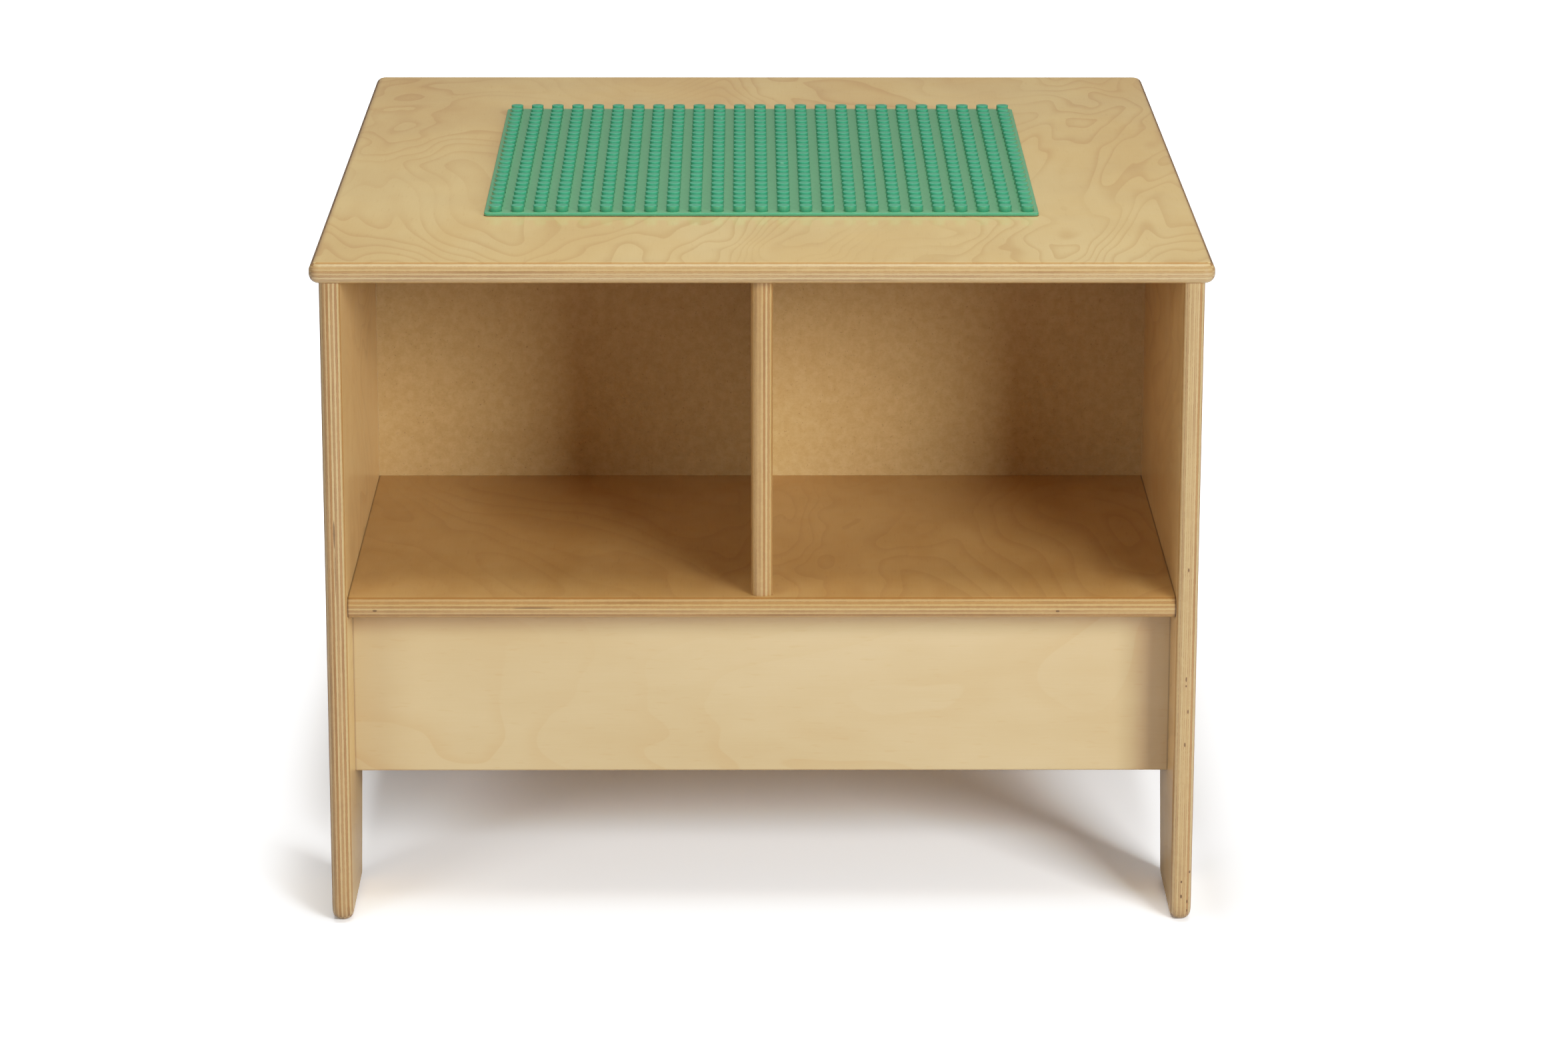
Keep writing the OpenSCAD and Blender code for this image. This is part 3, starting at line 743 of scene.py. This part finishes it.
# %% One object from several parts
def build(name, parts, material):
    """One mesh object from parts of (points, walls, caps...): walls are smooth, caps are flat. A
    part's faces count its points from 0, so they are shifted past the points before them."""
    points, faces, smooth, start = [], [], [], 0
    for vertices, *sets in parts:
        for index, group in enumerate(sets):
            faces += (group + start).tolist()
            smooth += [index == 0] * len(group)
        points.append(vertices)
        start += len(vertices)
    mesh = bpy.data.meshes.new(name)
    mesh.from_pydata(np.concatenate(points).tolist(), [], faces)
    mesh.polygons.foreach_set("use_smooth", smooth)
    mesh.materials.append(material)
    mesh.update()
    made = bpy.data.objects.new(name, mesh)
    bpy.context.collection.objects.link(made)
    return made


# The plate's box and the top of its sheet, for its finish and its shape
SHEET = 0.002
low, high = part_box("building_plate")
sheet_top = low.z + SHEET
print("top of the sheet: %.4f m" % sheet_top)

# %% [markdown]
# ## Green plastic
# Moulded plastic has its colour right through. One green would look painted, so slow noise follows
# the flow into the mould. Faces that look up get a paler tone, more so on the sheet than on the
# studs: a painted reflection of the bright surroundings. A faint haze and a few scuffs lie over
# that.
# A little light enters the surface, and a clear coat gives the sharp part of the shine.

# %% Green plastic
SCUFF_LUMPS = (30, 420, 30)
# Metres above the sheet where the studs' painted reflection tone starts and where it is full
STUD_STARTS, STUD_FULL = 0.0002, 0.0013
green, tree, shader, coords = empty_material("green plastic")
here = coords["Object"]
flow = noise(tree, here, 22.0, detail=3.0)
haze = ramp(tree, noise(tree, here, 240.0, detail=3.0, rough=0.6), 0.5, 0.75)
scuff = ramp(tree, long_noise(tree, here, SCUFF_LUMPS, detail=3.0, rough=0.6, warp=0.8), 0.68, 0.73)
# Painted reflection: faces that look up get a paler tone, as if they mirrored the bright room.
painted_reflection_up = ramp(tree, axes(tree, coords["Normal"])["Z"], 0.6, 0.97)
on_stud = ramp(tree, axes(tree, here)["Z"], sheet_top + STUD_STARTS, sheet_top + STUD_FULL)
painted_reflection_tone = blend(tree, on_stud, tone(101, 160, 116), tone(76, 155, 120))
colour = blend(tree, painted_reflection_up, blend(tree, flow, tone(43, 132, 99), tone(56, 144, 109)), painted_reflection_tone)
colour = tint(tree, colour, haze, 0.1, tone(120, 166, 138))
colour = tint(tree, colour, scuff, 0.2, tone(170, 196, 176))
roughness = plus(tree, times(tree, haze, 0.08), 0.4)
feed_all(tree, shader, Base_Color=colour, Roughness=roughness, Specular_IOR_Level=0.85,
         Coat_Weight=0.8, Coat_Roughness=0.12, Subsurface_Weight=0.06,
         Subsurface_Radius=(0.002, 0.004, 0.003))
bump_into(tree, shader, noise(tree, here, 900.0), strength=0.05, distance=0.0001)
print("plastic nodes:", len(tree.nodes))

# %% Sheet and studs
STUDS, PITCH, STUD_SIDES = 25, 0.016, 14
# A stud starts a little below the top of the sheet, so that no gap shows between them. Its
# rounding is given as (radius, distance below its top).
STUD_RADIUS, SUNK = 0.0047, 0.0005
ROUNDING = ((0.0047, 0.0008), (0.0047, 0.00035), (0.00459, 0.0001), (0.00435, 0.0))
RIM, CORNER, CORNER_STEPS = 0.0005, 0.003, 7
edge_profile = [(0, low.z), (0, sheet_top - RIM), (0.3 * RIM, sheet_top - 0.3 * RIM),
                (RIM, sheet_top)]
stud_profile = [(STUD_RADIUS, sheet_top - SUNK)]
stud_profile += [(radius, high.z - below) for radius, below in ROUNDING]
line_up = (np.arange(STUDS) - (STUDS - 1) / 2) * PITCH
spots = np.stack(np.meshgrid(line_up, line_up, indexing="ij"), -1).reshape(-1, 2)
sheet_part = carried(edge_profile, (high.x - low.x) / 2, CORNER, CORNER_STEPS)
plate = build("moulded_plate", [sheet_part, turned(stud_profile, STUD_SIDES, spots)], green)
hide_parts("building_plate")
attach(plate, "root")
print("plate:", len(plate.data.polygons), "faces,", len(spots), "studs")

# %% [markdown]
# ## Glue in the corners
# A thin bead of glue squeezed out where the fibreboard meets the boards. A line in the material
# would be flat from the side, so it is a mesh: a quarter round carried up each corner. It is only
# half a millimetre wide and broken, so it shows as a pale, uneven line. Its width follows a sum of
# sines.

# %% Glue beads
# A bead's radius in metres, its points from bottom to top, and those round its quarter
BEAD_RADIUS, BEAD_ROWS, BEAD_ARC = 0.00045, 90, 5


def bead(x, side, y, facing, bottom, top, phase):
    """A quarter-round bead up a corner at (x, y). Its radius is 0.45 mm x (0.75 + 0.3 x a sum of
    three sines of the height), held between 0.12 and 1.6 times 0.45 mm."""
    z = np.linspace(bottom, top, BEAD_ROWS)
    wave = np.sin(z * 190 + phase) + np.sin(z * 431 + 2 * phase) + np.sin(z * 73 + 3 * phase)
    radius = BEAD_RADIUS * np.clip(0.75 + 0.3 * wave, 0.12, 1.6)[:, None]
    angle = np.linspace(0, np.pi / 2, BEAD_ARC)
    outer = np.stack([x - side * radius * np.cos(angle), y + facing * radius * np.sin(angle),
                      np.repeat(z[:, None], BEAD_ARC, 1)], -1)
    corner = np.stack([np.full(BEAD_ROWS, x), np.full(BEAD_ROWS, y), z], -1)[:, None]
    points = np.concatenate([outer, corner], 1).reshape(-1, 3)
    quads, ends = joined(BEAD_ROWS, BEAD_ARC + 1), closed(BEAD_ROWS, BEAD_ARC + 1)
    if side * facing > 0:
        quads, ends = quads[:, ::-1], ends[:, ::-1]
    return points, quads, ends


print("quads in a bead:", len(joined(BEAD_ROWS, BEAD_ARC + 1)))

# %% Glue in its corners
glue, tree, shader, coords = empty_material("dried glue")
cured = noise(tree, coords["Object"], 700.0, detail=3.0)
colour = blend(tree, cured, tone(214, 190, 148), tone(184, 150, 100))
feed_all(tree, shader, Base_Color=colour, Roughness=0.4)
bump_into(tree, shader, cured, strength=0.3, distance=0.0001)
shelf_top, under_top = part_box("shelf")[1].z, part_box("top_panel")[0].z
panel_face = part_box("centre_panel")[1].y
inner_wall = -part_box("shelf")[0].x
beads = [bead(side * inner_wall, side, facing * panel_face, facing, shelf_top, under_top,
              phase=1.7 * side + 0.6 * facing) for side in (-1, 1) for facing in (-1, 1)]
corner_glue = build("corner_glue", beads, glue)
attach(corner_glue, "root")
print("glue:", len(corner_glue.data.polygons), "faces")

# %% [markdown]
# ## Floor
# The photograph has a plain white sweep. A curved backdrop could give that, but its bend would
# show in other views, so it is one large floor. The real one was most likely brought up to white
# after the picture was taken, because it threw less light back than it seems to. So it is
# over-white where the camera sees it, and mid grey for the light that bounces off it. Past the
# table's own shadow it glows up to plain white. To the right of the table it is a little less
# bright, so that the left lamp's faint shadow isn't drowned.

# %% Floor
FLOOR_HALF = 14
corners = [(x * FLOOR_HALF, y * FLOOR_HALF, 0) for x, y in ((-1, -1), (1, -1), (1, 1), (-1, 1))]
floor_mesh = bpy.data.meshes.new("floor")
floor_mesh.from_pydata(corners, [], [(0, 1, 2, 3)])
floor = bpy.data.objects.new("floor", floor_mesh)
bpy.context.collection.objects.link(floor)
print("floor: %d m square" % (2 * FLOOR_HALF))


# %% Floor paper
def grey(value):
    """An even grey in linear light; above 1 it is over-white."""
    return value, value, value, 1.0


# The floor is less bright to the right. This starts just inside the table's right end and is full
# just past it. The glow is full at its reach past the outline. The three lengths are in metres.
CALM_STARTS, CALM_FULL, CALM = 0.012, 0.02, 0.7
GLOW, GLOW_REACH, BOUNCE = 1.5, 0.13, 0.7
paper, tree, shader, coords = empty_material("pale floor")
here = axes(tree, coords["Object"])
tooth = noise(tree, coords["Object"], 60.0, detail=3.0)
calmer = ramp(tree, here["X"], cad_high[0] - CALM_STARTS, cad_high[0] + CALM_FULL, 1.0, CALM)
white = blend(tree, 1.0, blend(tree, tooth, grey(1.72), grey(1.76)), calmer, "MULTIPLY")
# How far a point lies past the table's outline: the root of the sum of both squares
beyond = [calc(tree, "MAXIMUM", minus(tree, unsigned(tree, here[axis]), half), 0.0)
          for axis, half in (("X", cad_high[0]), ("Y", cad_high[1]))]
away = calc(tree, "SQRT", plus(tree, *(calc(tree, "POWER", b, 2.0) for b in beyond)))
glow = blend(tree, ramp(tree, away, 0.0, GLOW_REACH), grey(0.0), grey(GLOW))
seen = tree.nodes.new("ShaderNodeLightPath").outputs["Is Camera Ray"]
feed_all(tree, shader, Base_Color=blend(tree, seen, grey(BOUNCE), white), Roughness=0.8,
         Emission_Color=blend(tree, seen, grey(0.0), glow), Emission_Strength=1.0)
floor_mesh.materials.append(paper)
print("floor nodes:", len(tree.nodes))

# %% [markdown]
# ## Light
# Soft shadows show how the table stands. The light falls off across the backs of the cubbies, and
# where it starts and ends there says where the lamps stood: a softbox a metre wide at the front
# right, about as high as the camera, and a weaker one at the front left. Distant lights would be
# simpler, but their shadows stay equally wide in both cubbies, and these don't. A third box hangs
# over the front of the table: the top is a little darker towards the rear, and no light from above
# reaches the shelf. A wide, weak box behind the table does nothing for this picture, but shows the
# rear to whoever walks round.


# %% Lights
def softbox(name, place, power, width, height, target=(0, 0, 0.3), shine=0.2):
    """A rectangular light at a place, facing the target. Only a share of its light, `shine`, shows
    in the lacquer and the plastic, as with a polarising sheet in front of the lamp."""
    for part, share in (("soft", 1 - shine), ("shine", shine)):
        if not share:
            continue
        data = bpy.data.lights.new(name + "_" + part, "AREA")
        data.shape, data.size, data.size_y, data.energy = "RECTANGLE", width, height, power * share
        lamp = bpy.data.objects.new(name + "_" + part, data)
        lamp.location = place
        lamp.rotation_mode = "QUATERNION"
        lamp.rotation_quaternion = (Vector(place) - Vector(target)).to_track_quat("Z", "Y")
        lamp.visible_glossy = part == "shine"
        bpy.context.collection.objects.link(lamp)


softbox("right_softbox", (1.51, -2.70, 1.25), power=96, width=1.10, height=0.94)
softbox("left_softbox", (-1.80, -2.60, 1.25), power=25, width=1.00, height=0.94)
softbox("overhead", (0.05, -0.35, 2.00), power=36, width=1.30, height=1.00,
        target=(0.0, 0.0, 0.485), shine=0.1)
softbox("rear_fill", (0.60, 3.40, 1.40), power=34, width=1.60, height=1.20, shine=0.0)

# %% Light from all round
SKY = 0.11
world = bpy.data.worlds.new("studio")
world.use_nodes = True
feed_all(world.node_tree, world.node_tree.nodes["Background"], Color=grey(1.0), Strength=SKY)
bpy.context.scene.world = world
print("light from all round:", SKY)

# %% [markdown]
# ## The camera's highlight curve
# A render is linear: twice the light is twice the number, and everything above one is lost. A
# camera bends its brightest tones over, so that pale wood in full light keeps its grain while the
# floor beside it turns white. A filmic view transform does this too, but it also greys the
# colours. One curve over the finished picture bends only the bright end.

# %% Highlight curve
FULL_WHITE = 1.45
SHOULDER = ((0.1, 0.1), (0.3, 0.3), (0.5, 0.49), (0.8, 0.7), (1.0, 0.82), (1.2, 0.92))
view = bpy.context.scene.view_settings
view.view_transform = "Standard"
view.use_curve_mapping = True
view.curve_mapping.white_level = (FULL_WHITE,) * 3
all_channels = view.curve_mapping.curves[3]
for light, shown in SHOULDER:
    all_channels.points.new(light / FULL_WHITE, shown)
view.curve_mapping.update()
print("curve points:", len(all_channels.points))
